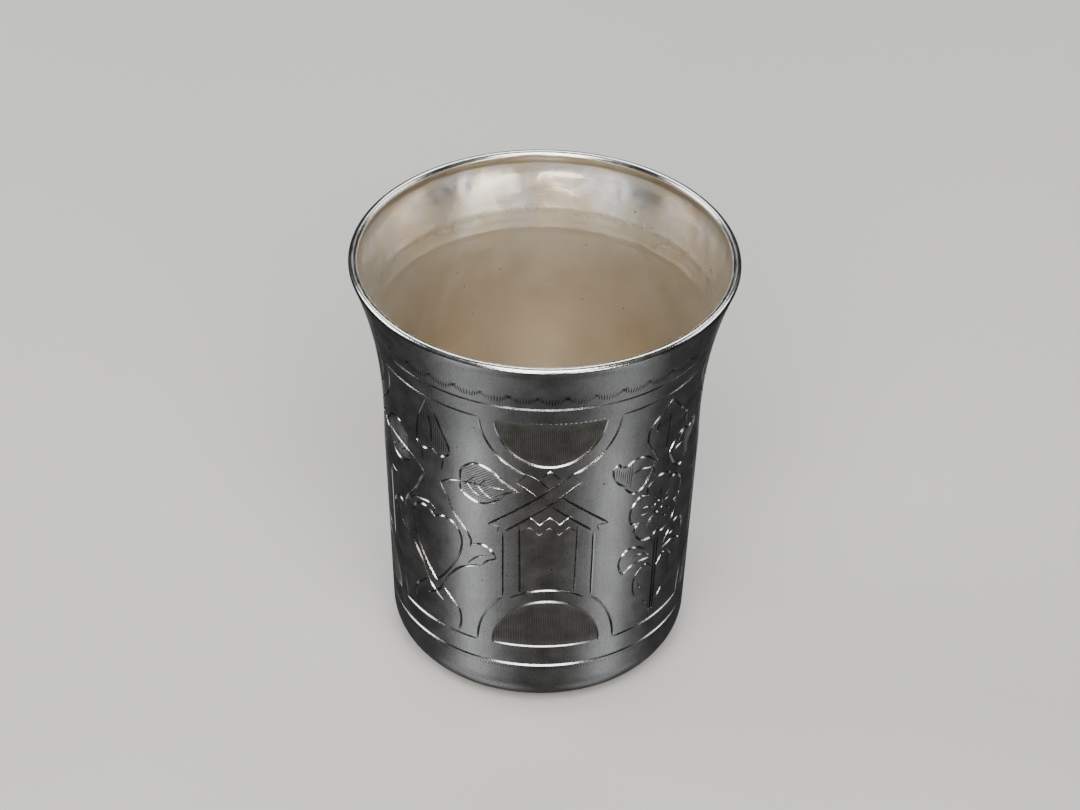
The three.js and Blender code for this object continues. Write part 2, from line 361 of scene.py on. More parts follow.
# %% Tree that wraps a flat place on the wall
wrap_tree, given = new_tree(
    "Wrap on wall", [("Flat", "Vector")], [("Place", "Vector"), ("Outward", "Vector")]
)
flat = add(wrap_tree, "ShaderNodeSeparateXYZ", [given["Flat"]])
below = reckon(wrap_tree, "SUBTRACT", flat["Y"], SLOPE_STEP)
above = reckon(wrap_tree, "ADD", flat["Y"], SLOPE_STEP)
at, lower, upper = (use(wrap_tree, radius_tree, [height])[0] for height in (flat["Y"], below, above))
fall = reckon(wrap_tree, "DIVIDE", reckon(wrap_tree, "SUBTRACT", lower, upper), 2 * SLOPE_STEP)
angle = reckon(wrap_tree, "MULTIPLY_ADD", flat["X"], 1 / WAIST_RADIUS, -math.pi / 2)
ray = joined(wrap_tree, at, 0.0, flat["Y"])
lean = joined(wrap_tree, 1.0, 0.0, fall)
outward = reckon_vector(wrap_tree, "NORMALIZE", spin(wrap_tree, lean, angle))
add(wrap_tree, "NodeGroupOutput", [spin(wrap_tree, ray, angle), outward])
print("wrap group of", len(wrap_tree.nodes), "nodes")

# %% [markdown]
# ## Drawing with a few kinds of line
# The engraving is made of straight lines, arcs of ellipses, free curves through a few
# points, and parallel hatching inside an outline. The drawing's unit is a hundredth of
# the field's height, with x from the motif's centre line and y up from the field's lower
# line.

# %% Lines, arcs, curves and hatching
SAMPLE = 1.25
STRAIGHT = 2.5


def line(*corners):
    """Straight lines through the corners, in steps short enough to follow the wall."""
    points = [corners[0]]
    for (x0, y0), (x1, y1) in pairwise(corners):
        steps = max(1, math.ceil(math.hypot(x1 - x0, y1 - y0) / STRAIGHT))
        points += [(x0 + (x1 - x0) * s / steps, y0 + (y1 - y0) * s / steps) for s in range(1, steps + 1)]
    return points


def arch(x, y, half_width, rise, start, end):
    """Part of an ellipse, angles in degrees from the right, counter-clockwise."""
    span = math.radians(end - start)
    steps = max(3, math.ceil(abs(span) * max(half_width, rise) / SAMPLE))
    angles = [math.radians(start) + span * step / steps for step in range(steps + 1)]
    return [(x + half_width * math.cos(a), y + rise * math.sin(a)) for a in angles]


def blend(weights, knots):
    """The mean of some points, each with its weight."""
    return tuple(sum(w * k[axis] for w, k in zip(weights, knots)) for axis in (0, 1))


def curve(*knots):
    """A smooth curve through the knots."""
    padded = [knots[0], *knots, knots[-1]]
    points = []
    for near in zip(padded, padded[1:], padded[2:], padded[3:]):
        steps = max(2, math.ceil(math.dist(near[1], near[2]) / SAMPLE))
        for step in range(steps):
            t = step / steps
            weights = (
                -t / 2 + t**2 - t**3 / 2,
                1 - 2.5 * t**2 + 1.5 * t**3,
                t / 2 + 2 * t**2 - 1.5 * t**3,
                -(t**2) / 2 + t**3 / 2,
            )
            points.append(blend(weights, near))
    return points + [knots[-1]]


def bend(start, pull_start, pull_end, end):
    """A curve from start to end, drawn towards two pulls."""
    reach = math.dist(start, pull_start) + math.dist(pull_start, pull_end) + math.dist(pull_end, end)
    steps = max(4, math.ceil(reach / SAMPLE))
    points = []
    for step in range(steps + 1):
        t = step / steps
        weights = ((1 - t) ** 3, 3 * t * (1 - t) ** 2, 3 * t**2 * (1 - t), t**3)
        points.append(blend(weights, (start, pull_start, pull_end, end)))
    return points


def mirrored(strokes):
    """The same strokes on the other side of the motif's centre line."""
    return [[(-x, y) for x, y in stroke] for stroke in strokes]


def placed(strokes, x, y, angle):
    """Strokes turned by an angle in degrees and moved."""
    c, s = math.cos(math.radians(angle)), math.sin(math.radians(angle))
    return [[(x + c * u - s * v, y + s * u + c * v) for u, v in stroke] for stroke in strokes]


def hatching(outline, angle, pitch, inset):
    """Parallel strokes inside a closed outline, kept short of it by the inset."""
    [turned] = placed([outline], 0, 0, -angle)
    rows = []
    low, high = min(v for _, v in turned), max(v for _, v in turned)
    level = low + pitch * 0.5
    while level < high:
        crossings = sorted(
            u0 + (u1 - u0) * (level - v0) / (v1 - v0)
            for (u0, v0), (u1, v1) in pairwise([*turned, turned[0]])
            if (v0 <= level) != (v1 <= level)
        )
        for left, right in zip(crossings[::2], crossings[1::2]):
            if right - left > 2.5 * inset:
                rows.append(line((left + inset, level), (right - inset, level)))
        level += pitch
    return placed(rows, 0, 0, angle)


# %% [markdown]
# ## The pavilion
# An arched doorway under two crossed gable boards, with a half-round at its foot and
# another hanging from the field's upper line. Both half-rounds are filled with fine
# upright hatching. The boards cross: one is drawn whole, and the other passes behind it.

# %% Pavilion
HATCH_PITCH = 0.62
LEAF_PITCH = 0.85
HATCH_INSET = 0.7

# A half-round: the height of its flat side, half its width, and its rise
UPPER_ROUND = (99.7, 17.5, 19.5)
LOWER_ROUND = (0.6, 19.2, 20.4)

# Half the width of the arches round them, where they meet the field's two lines
UPPER_SPAN = 22.6
LOWER_SPAN = 24.8


def zigzag(first, last, teeth, low, high):
    """A row of teeth between two places."""
    steps = 2 * teeth
    return line(*[(first + (last - first) * s / steps, high if s % 2 else low) for s in range(steps + 1)])


def pavilion_lines():
    side = [
        arch(0, UPPER_ROUND[0], UPPER_SPAN, 24.6, 180, 249.5),
        arch(0, 0, LOWER_SPAN, 27.8, 180, 128.7),
        line((-15.5, 50.7), (-15.5, 21.7)),
    ]
    boards = [
        line((-20.8, 52.8), (5.1, 73.9)),
        line((-14.9, 51.1), (10.8, 72.5)),
        line((20.8, 52.8), (4.1, 66.9)),
        line((14.9, 51.1), (1.0, 63.0)),
        line((-4.2, 67.2), (-10.8, 72.5)),
    ]
    flat_side, half_width, rise = LOWER_ROUND
    half_rounds = [arch(0, *UPPER_ROUND, 180, 360), arch(0, 0, half_width, flat_side + rise, 0, 180)]
    return [*half_rounds, *side, *mirrored(side), *boards]


def pavilion_details():
    side = [
        line((-9.8, 54.3), (-9.4, 24.3)),
        line((-20.8, 52.8), (-16.6, 53.0)),
        line((-16.6, 53.0), (-17.5, 50.0)),
        line((-10.8, 72.5), (-7.5, 76.7)),
    ]
    return [
        *side,
        *mirrored(side),
        arch(0, 0, 23.3, 26.1, 55.5, 124.5),
        line((-3.0, 75.0), (0.1, 78.3), (4.0, 74.2)),
        line((0, 70.4), (-3.4, 74.3)),
        line((5.1, 73.9), (7.5, 76.7)),
        line((-3.4, 74.3), (-7.5, 76.7)),
        line((-18.6, 0.6), (19.4, 0.6)),
    ]


def pavilion_hatching():
    return [
        hatching(arch(0, *UPPER_ROUND, 180, 360), 90, HATCH_PITCH, HATCH_INSET),
        hatching(arch(0, *LOWER_ROUND, 0, 180), 90, HATCH_PITCH, HATCH_INSET),
    ]


# %% [markdown]
# ## The heart plant
# Two plants stand between the pavilions. This one carries a heart on crossing stems, a
# bud above it and a leaf on each side. Half of it is drawn and mirrored, because the
# engraver worked to a centre line too. The leaves are filled with slanting hatching.

# %% Heart plant


def heart(length, half_width):
    """Two halves that meet at a tip at the origin and at a notch above it."""
    lobe, flank = (0.53 * half_width, 1.25 * length), (1.93 * half_width, 0.92 * length)
    half = bend((0, length), lobe, flank, (0, 0))
    return [half, *mirrored([half])]


def outline_of(halves):
    """One closed outline from the two halves of a heart."""
    right, left = halves
    return right + left[::-1]


def side_leaf():
    """The two edges of the heart plant's side leaf, from its stem to its tip."""
    upper = curve((11.7, 68.0), (12.4, 73.6), (17.4, 77.8), (23.4, 76.0), (27.6, 71.6), (32.4, 68.7))
    lower = curve((11.7, 68.0), (12.4, 63.9), (18.6, 61.2), (24.4, 63.2), (28.0, 67.4), (32.4, 68.7))
    return [upper, lower]


def bud():
    """The two edges of the bud, from its foot to its tip."""
    right = curve((0.4, 76.7), (3.6, 75.2), (7.0, 76.8), (7.6, 80.5), (5.0, 87.4), (3.5, 92.4), (0.2, 98.5))
    left = curve(
        (0.4, 76.7), (-3.2, 74.9), (-6.8, 76.2), (-6.5, 80.0), (-4.8, 88.0), (-2.6, 93.0), (0.2, 98.5)
    )
    return [right, left]


def heart_plant_lines():
    stem = curve(
        (3.5, 63.7), (6.3, 59.1), (8.5, 54.4), (10.7, 51.3), (13.8, 47.5), (15.6, 43.6), (15.0, 40.4)
    )
    low_leaf = curve(
        (16.1, 42.2), (19.3, 43.3), (22.4, 42.0), (24.3, 39.1), (23.7, 37.6), (21.5, 36.5), (19.3, 33.9)
    )
    side = [
        *side_leaf(),
        stem,
        curve((19.3, 33.9), (15.0, 32.2), (10.7, 29.6), (6.3, 23.9), (2.0, 15.9), (-3.5, 11.3)),
        low_leaf,
        curve((4.1, 17.4), (7.4, 14.0), (10.0, 11.3), (10.9, 8.7), (10.9, 4.3), (9.8, 1.0)),
    ]
    return [*placed(heart(28.3, 11.4), 0.7, 19.1, 0), *bud(), *side, *mirrored(side)]


def heart_plant_details():
    ribs = [
        curve((14.0 + x, 68.3), (16.4 + x, 68.3 + rise), (18.6 + x, 68.3 + 1.5 * rise))
        for x in (0, 4.2)
        for rise in (-2.7, 2.7)
    ]
    side = [
        curve((21.1, 38.9), (17.2, 36.7), (13.9, 32.6)),
        curve((3.5, 63.7), (7.4, 66.7), (11.7, 68.0)),
        line((5.2, 74.8), (4.1, 68.7)),
        curve((11.7, 68.0), (19.0, 68.9), (27.4, 69.0)),
        *ribs,
    ]
    inner = [curve((0.4, 79.0), (0.7, 85.0), (0.3, 92.0))]
    stem_behind = curve((-12.8, 47.0), (-10.0, 50.0), (-4.6, 51.8), (-1.3, 52.2), (0.9, 50.9))
    return [*side, *mirrored(side), *inner, stem_behind]


def heart_plant_hatching():
    leaf = hatching(outline_of(side_leaf()), 38, LEAF_PITCH, HATCH_INSET)
    return [leaf, mirrored(leaf), hatching(outline_of(bud()), 84, LEAF_PITCH, HATCH_INSET)]


# %% [markdown]
# ## The flower plant
# A flower of five petals on an upright stem, with leaves above, beside and below it. A
# petal is one stroke, turned round the flower's middle. Only the left leaves are drawn,
# and the right ones are their mirror image.

# %% Flower plant
FLOWER = (-0.4, 50.4)
PETAL_TURN = 72
PETALS = [18 + PETAL_TURN * petal for petal in range(360 // PETAL_TURN)]


def petals(notch, tip):
    """The petals, each one stroke from notch to notch."""
    x, y = FLOWER
    made = []
    for angle in PETALS:
        turn = math.radians(angle)
        half = math.radians(PETAL_TURN / 2)
        knots = [
            (x + reach * math.cos(turn + side * half), y + reach * math.sin(turn + side * half))
            for side, reach in ((-1, notch), (-0.72, tip * 0.93), (0, tip), (0.72, tip * 0.93), (1, notch))
        ]
        made.append(curve(*knots))
    return made


def top_leaves():
    """The leaves above the flower: the middle one, and the lobe on each side of it."""
    middle = [
        curve((-4.3, 84.6), (-3.9, 87.6), (-2.3, 91.1), (-1.3, 93.9), (0.9, 96.7)),
        curve((9.0, 81.5), (8.6, 86.6), (6.3, 89.8), (3.7, 93.0), (0.9, 96.7)),
    ]
    lobes = [
        curve((-4.3, 91.4), (-7.2, 88.0), (-7.9, 84.8), (-7.4, 80.4), (-4.6, 76.0), (-2.4, 71.4)),
        curve((9.1, 81.5), (10.8, 84.7), (12.5, 82.4), (12.3, 78.3), (10.4, 74.8), (6.6, 71.6)),
    ]
    return middle, lobes


def broad_leaf():
    """The two edges of the leaf beside the flower, from its tip to its foot."""
    upper = curve(
        (-20.9, 75.2), (-18.7, 76.5), (-17.8, 75.0), (-15.2, 74.7),
        (-13.0, 76.1), (-10.0, 76.3), (-6.6, 74.8), (-3.5, 71.1),
    )
    lower = curve(
        (-20.9, 75.2), (-20.2, 71.4), (-18.7, 68.5), (-16.2, 66.2),
        (-14.8, 63.8), (-11.5, 61.5), (-7.5, 63.6), (-3.5, 71.1),
    )
    return [upper, lower]


def flower_plant_lines():
    middle, lobes = top_leaves()
    low_leaf = curve(
        (-3.6, 30.6), (-6.6, 35.0), (-10.6, 37.4), (-14.4, 36.9), (-16.6, 33.3),
        (-16.3, 29.8), (-14.8, 27.2), (-12.4, 28.9), (-9.0, 30.0), (-3.6, 29.4),
    )
    side = [*broad_leaf(), low_leaf]
    stem = [line((-0.9, 36.5), (-0.6, 4.0)), line((0.7, 36.5), (0.5, 4.0))]
    return [*middle, *lobes, *side, *mirrored(side), *petals(9.2, 13.3), *stem]


def flower_plant_details():
    side = [
        curve((-7.8, 25.7), (-9.8, 22.4), (-9.8, 17.4), (-8.5, 13.5)),
        curve((-7.8, 20.7), (-7.4, 18.8), (-6.7, 17.4)),
        curve((-1.0, 23.6), (-4.4, 27.0), (-7.8, 25.7)),
        curve((-5.0, 10.9), (-2.8, 8.3), (-1.7, 5.4), (-0.7, 3.2)),
        curve((-5.2, 71.1), (-4.1, 68.5), (-3.0, 65.0)),
        curve((-4.6, 69.6), (-9.0, 70.8), (-13.4, 70.2)),
        curve((-4.4, 31.4), (-8.4, 33.2), (-13.0, 32.4)),
    ]
    ring = [arch(*FLOWER, 2.4, 2.4, start, start + 175) for start in (0, 180)]
    veins = [curve((0.4, 3.7), (0.9, 5.6), (0.5, 8.0)), curve((-1.6, 4.4), (-2.2, 6.2), (-2.4, 7.6))]
    spokes = [stroke for angle in PETALS for stroke in placed(veins, *FLOWER, angle - 90)]
    middle_vein = curve((1.6, 74.0), (1.8, 82.0), (1.2, 90.0))
    return [*side, *mirrored(side), *ring, *spokes, middle_vein]


def flower_plant_hatching():
    middle, _ = top_leaves()
    tip = [(x, y) for x, y in outline_of(broad_leaf()) if x < -12.5]
    patch = hatching(tip, 88, LEAF_PITCH, HATCH_INSET)
    top = hatching([*middle[0], *middle[1][::-1]], 88, LEAF_PITCH, HATCH_INSET)
    return [patch, mirrored(patch), top]


# %% [markdown]
# ## Setting the strokes out
# Each stroke gets its width, its shine and the painted shade of its groove, where its first
# copy stands, and how many copies follow round the wall. The back is plainer: it has the
# main lines, and the details and the hatching stay on the sides that are seen. Strokes
# with the same group number never touch one another, so one cutter can hold them all.

# %% List of strokes
# Each kind of cut has its width in millimetres and its shine, from 1, polished and lightly painted with
# shade, to -1, painted dark with shade
LINE, DETAIL, HATCH = (0.42, 1.0), (0.32, 1.0), (0.20, -0.4)
FINE, FAINT, TICK = (0.20, 0.3), (0.18, -0.9), (0.34, 1.0)
LEAF, PIT = (0.27, -0.8), (0.42, -1.0)

strokes = []
values = {label: [] for label in ("width", "shine", "offset", "copies", "spacing", "group")}
group_numbers = count()


def engrave(patches, kind, offset, amount, spacing):
    """Adds patches of strokes, in drawing units, to the list of cuts."""
    for patch in patches:
        group = next(group_numbers)
        for stroke in patch:
            strokes.append([(x * UNIT, FIELD_BOTTOM + y * UNIT) for x, y in stroke])
            for label, value in zip(values, (*kind, offset, amount, spacing, group)):
                values[label].append(value)


def singly(lines):
    """Every stroke as a patch of its own."""
    return [[stroke] for stroke in lines]


FRONT = math.radians(PAVILION_ANGLE) * WAIST_RADIUS
FIRST = FRONT - QUARTER
HEART_AT = FRONT - QUARTER / 2
FLOWER_AT = FRONT + QUARTER / 2
engrave(singly(pavilion_lines()), LINE, FIRST, 4, QUARTER)
engrave(singly(pavilion_details()), DETAIL, FIRST, 3, QUARTER)
engrave([[zigzag(-9.7, 10.5, 3, 55.2, 58.3)]], FINE, FIRST, 3, QUARTER)
engrave([[zigzag(-9.7, 10.3, 3, 50.7, 53.9)]], FAINT, FIRST, 3, QUARTER)
engrave(pavilion_hatching(), HATCH, FIRST, 3, QUARTER)
for offset, lines, details, hatched in (
    (HEART_AT, heart_plant_lines(), heart_plant_details(), heart_plant_hatching()),
    (FLOWER_AT, flower_plant_lines(), flower_plant_details(), flower_plant_hatching()),
):
    engrave(singly(lines), LINE, offset, 2, 2 * QUARTER)
    engrave(singly(details), DETAIL, offset, 1, 2 * QUARTER)
    engrave(hatched, HATCH, offset, 1, 2 * QUARTER)
print(len(strokes), "strokes of the pavilions and plants")

# %% [markdown]
# ## Rings, the field's lines and ticks
# Two rings run all round, above and below the field. Each is cut as two halves that
# overlap, because the tree tapers every stroke at its ends. The field's own lines stop
# at the pavilions. Over the upper one, and over the upper half-rounds, the graver was
# rocked along, which leaves a row of short cuts.

# %% Rings, the field's lines and ticks
OVERLAP = 0.5
TICK_PITCH = 1.5
TICK_HALF, TICK_LEAN = 0.3, 0.1
TICK_START, TICK_REACH = 24.0, 17.3
pavilion_to_pavilion = QUARTER / UNIT


def round_the_wall(height, kind):
    """A line all round, in two halves that overlap a little at their ends."""
    level = (height - FIELD_BOTTOM) / UNIT
    half = pavilion_to_pavilion + OVERLAP
    for offset in (0, 2 * QUARTER):
        engrave([[line((-half, level), (half, level))]], kind, offset, 1, QUARTER)


def ticks(first, last, level):
    """A row of short flat cuts, as a graver leaves when it's rocked along a line."""
    steps = round((last - first) / TICK_PITCH)
    places = [first + (last - first) * (step + 0.5) / steps for step in range(steps)]
    return [line((x - TICK_HALF, level - TICK_LEAN), (x + TICK_HALF, level + TICK_LEAN)) for x in places]


round_the_wall(UPPER_RING, LINE)
round_the_wall(LOWER_RING, LINE)
for level, span in ((100, UPPER_SPAN), (0, LOWER_SPAN)):
    engrave([[line((span, level), (pavilion_to_pavilion - span, level))]], LINE, FRONT, 4, QUARTER)
engrave([ticks(TICK_START, pavilion_to_pavilion - TICK_START, 100.4)], TICK, FRONT, 1, QUARTER)
engrave([ticks(-TICK_REACH, TICK_REACH, 100.1)], TICK, FIRST, 3, QUARTER)
print(len(strokes), "strokes with the rings and ticks")

# %% [markdown]
# ## Pits, garland and dots
# The graver's point left a few pits among the hatching of the half-rounds. They are
# scattered by chance, but from a fixed seed, so always in the same places. Above the
# upper ring hangs a garland of small swags, each a fan of short cuts, and a row of
# punched dots follows the lower ring. The tree copies one swag and one dot round.

# %% Pits, garland and dots
PITS, PIT_REACH, PIT_HALF, PIT_GAP = 13, 8, 0.25, 2
SWAGS, SWAG_LEAVES = 40, 11
SWAG_LEVEL, SWAG_SAG = 109.0, 2.6
DOTS, DOT_HALF, DOT_DROP = 312, 0.45, 0.75

scatter = random.Random(11)
for centre, reach in ((90, 7), (8, 6)):
    spots = []
    for _ in range(PITS):
        spots.append((scatter.uniform(-PIT_REACH, PIT_REACH), centre + scatter.uniform(-reach, reach)))
    apart = [
        (x, y)
        for number, (x, y) in enumerate(spots)
        if all(math.dist((x, y), other) > PIT_GAP for other in spots[:number])
    ]
    engrave([[line((x - PIT_HALF, y), (x + PIT_HALF, y)) for x, y in apart]], PIT, FIRST, 3, QUARTER)


def swag(width):
    """Short leaning cuts along one swag, spread like the leaves of a fan."""
    leaves = []
    for leaf in range(SWAG_LEAVES):
        share = (leaf + 0.5) / SWAG_LEAVES * 2 - 1
        x, y = share * width / 2, SWAG_LEVEL + SWAG_SAG * share**2
        tip = (x + 1.5 * share + 0.2, y + 3.3 - 1.2 * share**2)
        leaves.append(line((x, y), (x + 0.5 * share, y + 1.4), tip))
    return leaves


around = 4 * QUARTER
engrave([swag(around / SWAGS / UNIT)], LEAF, FRONT, SWAGS, around / SWAGS)
dot_level = (LOWER_RING - DOT_DROP - FIELD_BOTTOM) / UNIT
dot = line((0, dot_level - DOT_HALF), (0.1, dot_level + DOT_HALF))
engrave([[dot]], PIT, FRONT, DOTS, around / DOTS)

drawing = flat_mesh("drawing", strokes, values)
print(len(strokes), "strokes in", max(values["group"]) + 1, "groups")

# %% [markdown]
# ## The tree that engraves
# It starts with the turned body. Cutting will break the wall into slivers, so the
# normals of the uncut form are kept on the face corners now. With them the wall still
# shines as one smooth surface between the grooves. The value "inside" goes along and
# tells the silver where the beaker's inside begins.

# %% Tree that engraves, and its body
GROOVE_DEPTH = 0.53

engraving_inputs = [("Drawing", "Object"), ("Depth of width", "Float", 0.5), ("Silver", "Material")]
engraver, given = new_tree(
    "Engraved beaker", [*section_inputs, *engraving_inputs], [("Mesh", "Geometry")]
)
body = use(engraver, turner, [given[label] for label, *_ in section_inputs])[0]
body_normal = add(engraver, "GeometryNodeInputNormal")[0]
body = store(engraver, body, "turned normal", body_normal, "FLOAT_VECTOR")
kept_normal = named(engraver, "turned normal", "FLOAT_VECTOR")
body = store(engraver, body, "smooth", kept_normal, "FLOAT_VECTOR", "CORNER")
body = store(engraver, body, "inside", named(engraver, "zone"), domain="CORNER")

# %% [markdown]
# ## Strokes round the wall
# The drawing's chains become curves. Each is copied and shifted as often as it comes
# back, and bent on to the wall. Its points keep two directions, out of the metal and
# along the stroke. The strokes are then parted by group, as the bars of one cutter
# mustn't touch.

# %% Strokes round the wall
flat_lines = add(engraver, "GeometryNodeObjectInfo", [given["Drawing"]])["Geometry"]
curves = add(engraver, "GeometryNodeMeshToCurve", [flat_lines])[0]
often = {"Geometry": curves, "Amount": named(engraver, "copies", "INT")}
repeated = add(engraver, "GeometryNodeDuplicateElements", often, domain="SPLINE")
step, start = named(engraver, "spacing"), named(engraver, "offset")
way_round = reckon(engraver, "MULTIPLY_ADD", repeated["Duplicate Index"], step, start)
shift = joined(engraver, way_round, 0.0, 0.0)
moved = {"Geometry": repeated["Geometry"], "Offset": shift}
spread = add(engraver, "GeometryNodeSetPosition", moved)[0]
wrapping = use(engraver, wrap_tree, [add(engraver, "GeometryNodeInputPosition")[0]])
kept = store(engraver, spread, "outward", wrapping["Outward"], "FLOAT_VECTOR")
bent = add(engraver, "GeometryNodeSetPosition", {"Geometry": kept, "Position": wrapping["Place"]})[0]
tangent = add(engraver, "GeometryNodeInputTangent")[0]
bent = store(engraver, bent, "along", tangent, "FLOAT_VECTOR")
out, forward = (named(engraver, label, "FLOAT_VECTOR") for label in ("outward", "along"))
aimed = add(engraver, "GeometryNodeSetCurveNormal", {"Curve": bent, "Normal": out}, mode="FREE")[0]
by_group = {"Geometry": aimed, "Group ID": named(engraver, "group", "INT")}
split = add(engraver, "GeometryNodeSplitToInstances", by_group, domain="CURVE")[0]

# %% [markdown]
# ## The graver's bar
# A graver is a steel bar with a V-shaped point. Here it's a three-sided bar swept along
# the stroke: one edge runs at the bottom of the groove, and the side opposite stands as
# far above the surface. A graver goes in and comes out at a slant, so the bar is narrow
# and shallow at both ends of a stroke.

# %% The graver's bar
TAPER_LENGTH = 0.9
TAPER_START = 0.2
depth = given["Depth of width"]
round_bar = {"Resolution": 3, "Radius": 1.0}
bar = add(engraver, "GeometryNodeCurvePrimitiveCircle", round_bar, mode="RADIUS")[0]
tall = reckon(engraver, "MULTIPLY", depth, 4 / 3)
raised = reckon(engraver, "MULTIPLY", depth, 1 / 3)
bar_scale = joined(engraver, tall, 2 / math.sqrt(3), 1.0)
bar_shift = joined(engraver, raised, 0.0, 0.0)
bar = add(
    engraver,
    "GeometryNodeTransform",
    {"Geometry": bar, "Translation": bar_shift, "Rotation": (0, 0, math.pi), "Scale": bar_scale},
)[0]

passed = add(engraver, "GeometryNodeSplineParameter")["Length"]
whole = add(engraver, "GeometryNodeSplineLength")["Length"]
nearest = reckon(engraver, "MINIMUM", passed, reckon(engraver, "SUBTRACT", whole, passed))
swell = add(engraver, "ShaderNodeMapRange", [nearest, 0.0, TAPER_LENGTH, TAPER_START, 1.0])[0]
size = reckon(engraver, "MULTIPLY", swell, named(engraver, "width"))
swept = {"Curve": split, "Profile Curve": bar, "Scale": size, "Fill Caps": True}
bars = add(engraver, "GeometryNodeCurveToMesh", swept)[0]
bars = add(engraver, "GeometryNodeTriangulate", {"Mesh": bars})[0]
bars = add(engraver, "GeometryNodeSetShadeSmooth", {"Geometry": bars, "Shade Smooth": False})[0]

# %% [markdown]
# ## Normals of the grooves
# Each bar carries the normals that its groove will show. They lean to one side or the
# other of the V, and look back along the stroke at its ends. Without them, every facet
# of a curved stroke would flash by itself. The value "cut" takes the stroke's shine, with
# the painted shade of its groove, to the silver.

# %% Normals of the grooves
END_TURN = 0.7
face_normal = add(engraver, "GeometryNodeInputNormal")[0]
across = reckon_vector(engraver, "CROSS_PRODUCT", forward, out)
side = reckon(engraver, "SIGN", reckon_vector(engraver, "DOT_PRODUCT", across, face_normal))
steep = reckon(engraver, "MULTIPLY", reckon(engraver, "MULTIPLY", side, depth), -2.0)
of_side = reckon_vector(engraver, "ADD", out, scaled(engraver, across, steep))
of_end = scaled(engraver, face_normal, -1.0)
endways = reckon(engraver, "ABSOLUTE", reckon_vector(engraver, "DOT_PRODUCT", forward, face_normal))
is_end = add(engraver, "FunctionNodeCompare", [endways, END_TURN], operation="GREATER_THAN")[0]
choice = {"Switch": is_end, "False": of_side, "True": of_end}
shown = add(engraver, "GeometryNodeSwitch", choice, input_type="VECTOR")[0]
bars = store(engraver, bars, "smooth", shown, "FLOAT_VECTOR", "CORNER")
bars = store(engraver, bars, "cut", named(engraver, "shine"), domain="FACE")

# %% [markdown]
# ## Cutting
# One boolean takes all the bars out of the body. Both have the silver on them already,
# so no face comes out bare. The corner values come through the boolean too, and become
# the normals of the finished mesh, which is brought to metres.

# %% Cutting
body, bars = (
    add(engraver, "GeometryNodeSetMaterial", {"Geometry": part, "Material": given["Silver"]})[0]
    for part in (body, bars)
)
cut = add(
    engraver,
    "GeometryNodeMeshBoolean",
    {"Mesh 1": body, "Mesh 2": bars},
    operation="DIFFERENCE",
    solver="MANIFOLD",
)[0]

facing = reckon_vector(engraver, "NORMALIZE", named(engraver, "smooth", "FLOAT_VECTOR"))
sized = add(engraver, "GeometryNodeTransform", {"Geometry": cut, "Scale": (MM, MM, MM)})[0]
shading = {"Mesh": sized, "Custom Normal": facing}
shaded = add(engraver, "GeometryNodeSetMeshNormal", shading, mode="FREE", domain="CORNER")[0]
real = add(engraver, "GeometryNodeRealizeInstances", [shaded])[0]
silvered = add(engraver, "GeometryNodeSetMaterial", {"Geometry": real, "Material": given["Silver"]})[0]
add(engraver, "NodeGroupOutput", [silvered])
print("engraving tree of", len(engraver.nodes), "nodes")

# %% [markdown]
# ## Silver
# Worn silver isn't a mirror: fine scratches from use and cleaning make it satin. Outside
# it's a cool grey, with tarnish in the hatched half-rounds. Inside, a warm tan is painted
# into the silver as a reflection of the room's warm light, and the lip is rubbed bright.
# The patterns read object coordinates in millimetres, so each number in them is a real size.

# %% Silver


def linear(code):
    """A colour from its sRGB hex code."""
    channels = [int(code[place : place + 2], 16) / 255 for place in (1, 3, 5)]
    return (*[c / 12.92 if c <= 0.04045 else ((c + 0.055) / 1.055) ** 2.4 for c in channels], 1.0)


silver = bpy.data.materials.new("satin silver")
silver.use_nodes = True
paint = silver.node_tree
surface = paint.nodes["Principled BSDF"]
surface.inputs["Metallic"].default_value = 1.0

object_place = add(paint, "ShaderNodeTexCoord")["Object"]
millimetres = scaled(paint, object_place, 1 / MM)


def pattern(size, detail=2.0, stretch=(1, 1, 1), seed=0.0):
    """Noise with features of this size in millimetres, stretched along the axes."""
    per_mm = tuple(1 / (size * times) for times in stretch)
    fitted = add(paint, "ShaderNodeMapping", {"Vector": millimetres, "Scale": per_mm})[0]
    moved = reckon_vector(paint, "ADD", fitted, (seed, seed, seed))
    return add(paint, "ShaderNodeTexNoise", {"Vector": moved, "Scale": 1.0, "Detail": detail})[0]


def ranged(value, start, end, low=0.0, high=1.0):
    """A value's way from start to end, as a number from low to high."""
    return add(paint, "ShaderNodeMapRange", [value, start, end, low, high])[0]


def calculate(operation, *values):
    """A sum in the silver's own tree."""
    return reckon(paint, operation, *values)


def mixed(factor, one, other):
    """A mix of two colours, each a hex code or a socket."""
    one, other = (linear(side) if isinstance(side, str) else side for side in (one, other))
    return add(paint, "ShaderNodeMix", {0: factor, 6: one, 7: other}, data_type="RGBA")[2]


zone = add(paint, "ShaderNodeAttribute", attribute_name="inside")["Fac"]
cut_face = add(paint, "ShaderNodeAttribute", attribute_name="cut")["Fac"]
on_lip = calculate("MULTIPLY", ranged(zone, 0.0, 0.05), ranged(zone, 1.0, 0.9))
is_inside = ranged(zone, 0.8, 1.0)

# %% [markdown]
# ## Where the tarnish sits
# The hatched half-rounds hold more tarnish than the open wall. Their place is worked out
# from the drawing's own sizes. The four pavilions change places when the beaker is
# turned by a quarter, so the way round is measured from the nearest of them.

